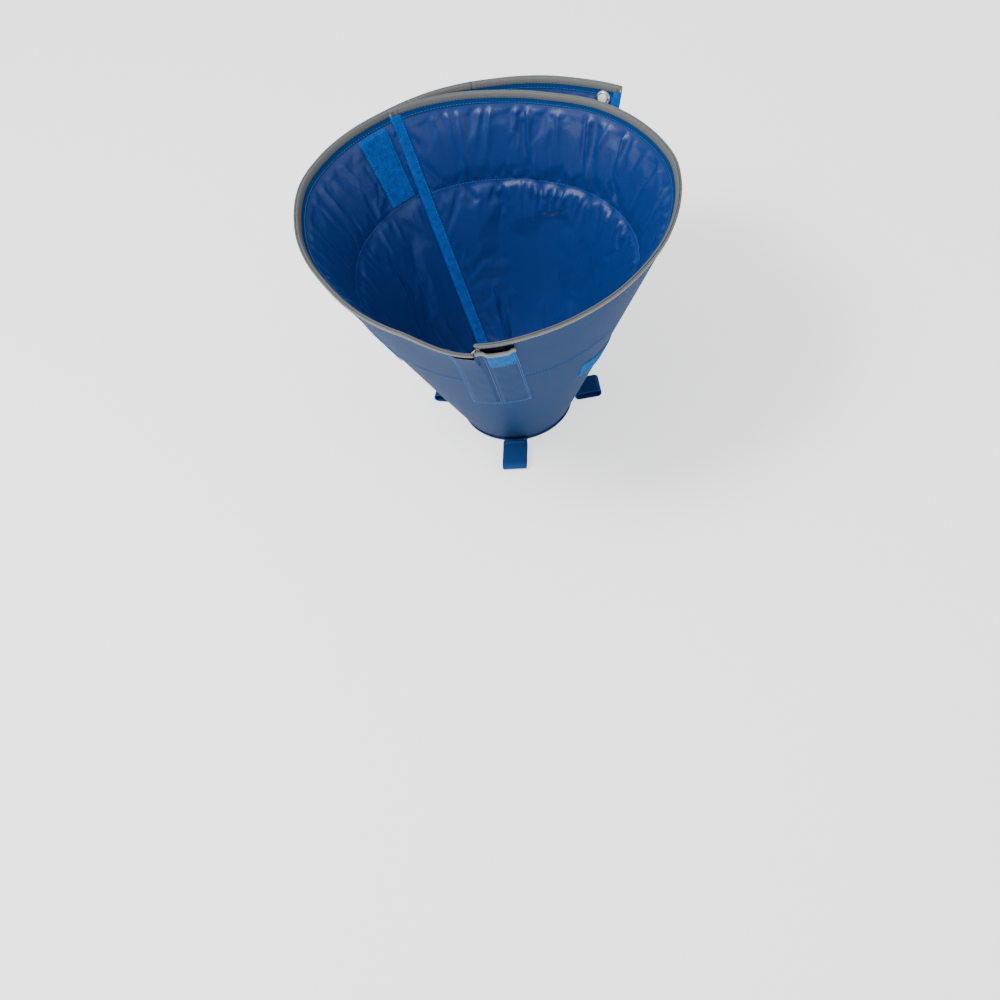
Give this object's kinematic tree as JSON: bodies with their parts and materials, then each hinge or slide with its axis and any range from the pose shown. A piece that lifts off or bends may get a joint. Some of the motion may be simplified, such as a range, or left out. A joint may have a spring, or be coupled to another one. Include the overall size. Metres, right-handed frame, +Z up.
{
  "type": "elizabethan collar",
  "caption": "Soft padded cone collar for a pet: a bound foam panel wrapped into a cone, with a free flap, stay pocket and collar loops.",
  "frame": {"origin": "on the cone's axis, at the neck edge", "axes": "+Z up the cone's axis from neck to rim, -Y the front, where the stay pocket is"},
  "size_m": [0.3834, 0.4035, 0.2841],
  "materials": {
    "shell_nylon": "coated nylon, satin",
    "foam": "open-cell foam",
    "lining_nylon": "smooth nylon, soft sheen",
    "reflective_binding": "grey reflective tape",
    "facing_tape": "flat woven tape",
    "neck_tape": "rolled woven tape",
    "brushed_loop": "brushed loop pile",
    "light_loop": "brushed loop pile",
    "hook_tape": "moulded hooks",
    "stay_plastic": "semi-clear sheet",
    "snap_metal": "nickel plated",
    "snap_plastic": "moulded white insert",
    "webbing": "ribbed elastic webbing"
  },
  "bodies": {
    "cone": {"outer_shell": "shell_nylon", "foam_core": "foam", "inner_lining": "lining_nylon", "rim_binding": "reflective_binding", "rim_facing_tape": "facing_tape", "neck_binding": "neck_tape", "inner_end_binding": "brushed_loop", "lining_loop_strip": "brushed_loop", "inner_hook_strip": "hook_tape", "side_loop_band": "light_loop", "side_loop_patch": "light_loop", "front_stay_pocket": "shell_nylon", "pocket_mouth_binding": "reflective_binding", "pocket_loop_patch": "light_loop", "sewn_in_stay": "stay_plastic", "snap_stud": "snap_metal", "snap_back_plate": "snap_metal", "collar_loop_roots": "webbing"},
    "flap_root": {"flap_root_shell": "shell_nylon", "flap_root_foam": "foam", "flap_root_lining": "lining_nylon", "flap_root_rim_binding": "reflective_binding", "flap_root_rim_facing": "facing_tape", "flap_root_neck_binding": "neck_tape", "flap_loop_strip": "light_loop", "flap_loop_root": "webbing"},
    "flap_tip": {"flap_tip_shell": "shell_nylon", "flap_tip_foam": "foam", "flap_tip_lining": "lining_nylon", "flap_tip_rim_binding": "reflective_binding", "flap_tip_rim_facing": "facing_tape", "flap_tip_neck_binding": "neck_tape", "flap_end_binding": "brushed_loop", "flap_hook_tab": "hook_tape", "snap_socket": "snap_metal", "snap_insert": "snap_plastic", "snap_cap": "snap_metal"},
    "stay": {"removable_stay": "stay_plastic"},
    "loop_front": {"collar_loop_front": "webbing"},
    "loop_right": {"collar_loop_right": "webbing"},
    "loop_left": {"collar_loop_left": "webbing"},
    "loop_back": {"collar_loop_back": "webbing"}
  },
  "joints": [
    {"name": "flap_root_swing", "type": "hinge", "parent": "cone", "child": "flap_root", "pos_m": [-0.0192, 0.06646, 0], "axis": [-0.2153, 0.3729, 0.9026], "range_deg": [0, 65]},
    {"name": "flap_tip_fold", "type": "hinge", "parent": "flap_root", "child": "flap_tip", "pos_m": [0.02431, 0.07611, 0], "axis": [0.0375, 0.4289, 0.9026], "range_deg": [-7, 60]},
    {"name": "stay_slide", "type": "slide", "parent": "cone", "child": "stay", "axis": [0, -0.4323, 0.9017], "range_m": [0, 0.16]},
    {"name": "front_loop_swing", "type": "hinge", "parent": "cone", "child": "loop_front", "pos_m": [0, -0.06594, 0.0047], "axis": [-1, 0, 0], "range_deg": [-90, 50]},
    {"name": "right_loop_swing", "type": "hinge", "parent": "cone", "child": "loop_right", "pos_m": [0.06494, 0.01145, 0.0047], "axis": [0.1736, -0.9848, 0], "range_deg": [-90, 50]},
    {"name": "left_loop_swing", "type": "hinge", "parent": "cone", "child": "loop_left", "pos_m": [-0.06481, 0.01686, 0.0047], "axis": [0.1736, 0.9848, 0], "range_deg": [-90, 50]},
    {"name": "back_loop_swing", "type": "hinge", "parent": "flap_root", "child": "loop_back", "pos_m": [0.0004, 0.08439, 0.0047], "axis": [0.9781, 0.2079, 0], "range_deg": [-90, 50]}
  ]
}
